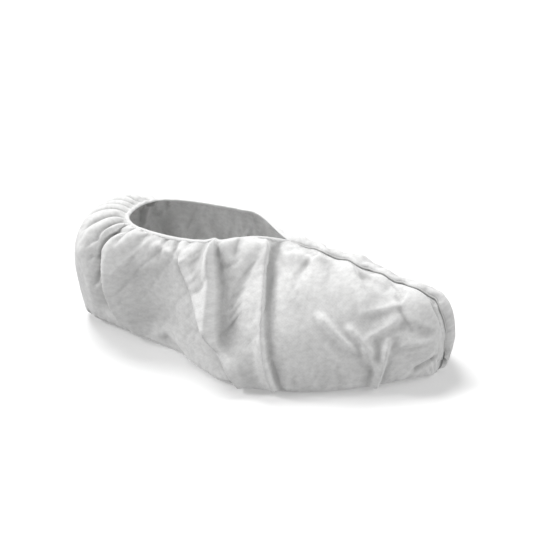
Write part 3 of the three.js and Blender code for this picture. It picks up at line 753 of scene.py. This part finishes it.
def stitch_nodes():
    """Geometry nodes that lay one rounded stitch after the other along a line."""
    group = bpy.data.node_groups.new("seam_stitches", "GeometryNodeTree")
    face = group.interface
    face.new_socket("Line", in_out="INPUT", socket_type="NodeSocketGeometry")
    for name in THREAD:
        face.new_socket(name, in_out="INPUT", socket_type="NodeSocketFloat")
    face.new_socket("Thread", in_out="INPUT", socket_type="NodeSocketMaterial")
    face.new_socket("Stitches", in_out="OUTPUT", socket_type="NodeSocketGeometry")
    nodes, links = group.nodes, group.links
    given = nodes.new("NodeGroupInput")
    result = nodes.new("NodeGroupOutput")
    curve = nodes.new("GeometryNodeMeshToCurve")
    spaced = nodes.new("GeometryNodeResampleCurve")
    spaced.mode = "LENGTH"
    tangent = nodes.new("GeometryNodeInputTangent")
    turned = nodes.new("FunctionNodeAlignRotationToVector")
    turned.axis = "Z"
    ball = nodes.new("GeometryNodeMeshUVSphere")
    ball.inputs["Segments"].default_value = 8
    ball.inputs["Rings"].default_value = 6
    ball.inputs["Radius"].default_value = 0.5
    size = nodes.new("ShaderNodeCombineXYZ")
    stitch = nodes.new("GeometryNodeTransform")
    placed = nodes.new("GeometryNodeInstanceOnPoints")
    real = nodes.new("GeometryNodeRealizeInstances")
    smoothed = nodes.new("GeometryNodeSetShadeSmooth")
    colour = nodes.new("GeometryNodeSetMaterial")
    links.new(given.outputs["Line"], curve.inputs["Mesh"])
    links.new(curve.outputs["Curve"], spaced.inputs["Curve"])
    links.new(given.outputs["Stitch Pitch"], spaced.inputs["Length"])
    links.new(tangent.outputs["Tangent"], turned.inputs["Vector"])
    links.new(given.outputs["Thread Thickness"], size.inputs["X"])
    links.new(given.outputs["Thread Thickness"], size.inputs["Y"])
    links.new(given.outputs["Stitch Length"], size.inputs["Z"])
    links.new(ball.outputs["Mesh"], stitch.inputs["Geometry"])
    links.new(size.outputs["Vector"], stitch.inputs["Scale"])
    links.new(spaced.outputs["Curve"], placed.inputs["Points"])
    links.new(stitch.outputs["Geometry"], placed.inputs["Instance"])
    links.new(turned.outputs["Rotation"], placed.inputs["Rotation"])
    links.new(placed.outputs["Instances"], real.inputs["Geometry"])
    links.new(real.outputs["Geometry"], smoothed.inputs["Geometry"])
    links.new(smoothed.outputs["Geometry"], colour.inputs["Geometry"])
    links.new(given.outputs["Thread"], colour.inputs["Material"])
    links.new(colour.outputs["Geometry"], result.inputs["Stitches"])
    return group


thread_material = bpy.data.materials.new("thread")
thread_material.use_nodes = True
thread_shader = thread_material.node_tree.nodes["Principled BSDF"]
thread_shader.inputs["Base Color"].default_value = (*THREAD_COLOUR, 1)
thread_shader.inputs["Roughness"].default_value = 0.7
thread_path = (seam_middle - inward * THREAD_DEPTH)[sunk[:, 0] > THREAD_STOP]
thread_edges = [(i, i + 1) for i in range(len(thread_path) - 1)]
thread_line = bpy.data.meshes.new("thread_line")
thread_line.from_pydata(((thread_path + (*SEAM_AT, 0)) * MM).tolist(), thread_edges, [])
stitches = bpy.data.objects.new("front_seam_stitches", thread_line)
scene.collection.objects.link(stitches)
sewing = stitches.modifiers.new("stitches", "NODES")
sewing.node_group = stitch_nodes()
sewing_items = sewing.node_group.interface.items_tree
sockets = {item.name: item.identifier for item in sewing_items if item.in_out == "INPUT"}
for name, value in THREAD.items():
    sewing[sockets[name]] = value * MM
sewing[sockets["Thread"]] = thread_material
sewn = stitches.evaluated_get(bpy.context.evaluated_depsgraph_get())
stitch_mesh = bpy.data.meshes.new_from_object(sewn)
stitches.modifiers.remove(sewing)
stitches.data = stitch_mesh
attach(stitches, "root")

# Studio
# A plain white floor under three soft lights, with an even light from all round and a weak one inside.
# The camera stands at the photograph's angle.
FLOOR_HALF = 6.0
FLOOR_DROP = 0.0003        # keeps the floor clear of the sole
FLOOR_GLOW = 0.06
SKY_LIGHT = 0.48
GROUND_LIGHT = 0.51
HORIZON = (-0.4, 0.4)      # heights on the surrounding sphere over which ground light becomes sky light

floor_mesh = bpy.data.meshes.new("floor")
floor_sides = ((-1, -1), (1, -1), (1, 1), (-1, 1))
floor_corners = [(x * FLOOR_HALF, y * FLOOR_HALF, -FLOOR_DROP) for x, y in floor_sides]
floor_mesh.from_pydata(floor_corners, [], [(0, 1, 2, 3)])
floor = bpy.data.objects.new("floor", floor_mesh)
floor.visible_diffuse = False
scene.collection.objects.link(floor)
paint = bpy.data.materials.new("floor_paint")
paint.use_nodes = True
paint_shader = paint.node_tree.nodes["Principled BSDF"]
paint_shader.inputs["Base Color"].default_value = (1, 1, 1, 1)
paint_shader.inputs["Roughness"].default_value = 1.0
paint_shader.inputs["Emission Color"].default_value = (1, 1, 1, 1)
paint_shader.inputs["Emission Strength"].default_value = FLOOR_GLOW
floor_mesh.materials.append(paint)

world = bpy.data.worlds.new("studio")
world.use_nodes = True
world_tree = world.node_tree
direction = world_tree.nodes.new("ShaderNodeTexCoord")
direction_parts = world_tree.nodes.new("ShaderNodeSeparateXYZ")
world_tree.links.new(direction.outputs["Generated"], direction_parts.inputs["Vector"])
surround = range_node(world_tree, direction_parts.outputs["Z"], HORIZON, GROUND_LIGHT, SKY_LIGHT)
background = world_tree.nodes["Background"]
world_tree.links.new(surround, background.inputs["Strength"])
background.inputs["Color"].default_value = (1, 1, 1, 1)
scene.world = world

# Each soft light: the way towards it, its strength, and how wide it looks in degrees
LIGHTS = {
    "behind": ((-0.45, 0.42, 1.0), 1.6, 25),
    "left": ((-1.0, -0.30, 0.8), 0.98, 15),
    "right": ((0.8, 0.1, 0.6), 0.5, 40),
}
for name, (way, strength, width) in LIGHTS.items():
    lamp = bpy.data.lights.new(name, "SUN")
    lamp.energy = strength
    lamp.angle = math.radians(width)
    lamp_object = bpy.data.objects.new(name, lamp)
    lamp_object.rotation_euler = Vector(way).to_track_quat("Z", "Y").to_euler()
    scene.collection.objects.link(lamp_object)

# A weak lamp inside stands for the light that the thin cloth lets through, which shows on the far wall
# inside the opening
INSIDE_LIGHT = {"middle": (-0.045, 0.002, 0.050), "radius": 0.03, "power": 0.012}
glow = bpy.data.lights.new("inside", "POINT")
glow.shadow_soft_size = INSIDE_LIGHT["radius"]
glow.energy = INSIDE_LIGHT["power"]
glow_object = bpy.data.objects.new("inside", glow)
glow_object.location = INSIDE_LIGHT["middle"]
glow_object.visible_camera = False
scene.collection.objects.link(glow_object)

EYE = Vector((0.35483, -0.89397, 0.56524))
TARGET = Vector((0.01088, 0.01911, 0.05731))
SENSOR_WIDTH = 36
LENS = 89.15
camera = bpy.data.cameras.new("camera")
camera.sensor_width = SENSOR_WIDTH
camera.lens = LENS
camera_object = bpy.data.objects.new("camera", camera)
camera_object.location = EYE
camera_object.rotation_euler = (TARGET - EYE).to_track_quat("-Z", "Y").to_euler()
scene.collection.objects.link(camera_object)
scene.camera = camera_object
scene.view_settings.view_transform = "Standard"
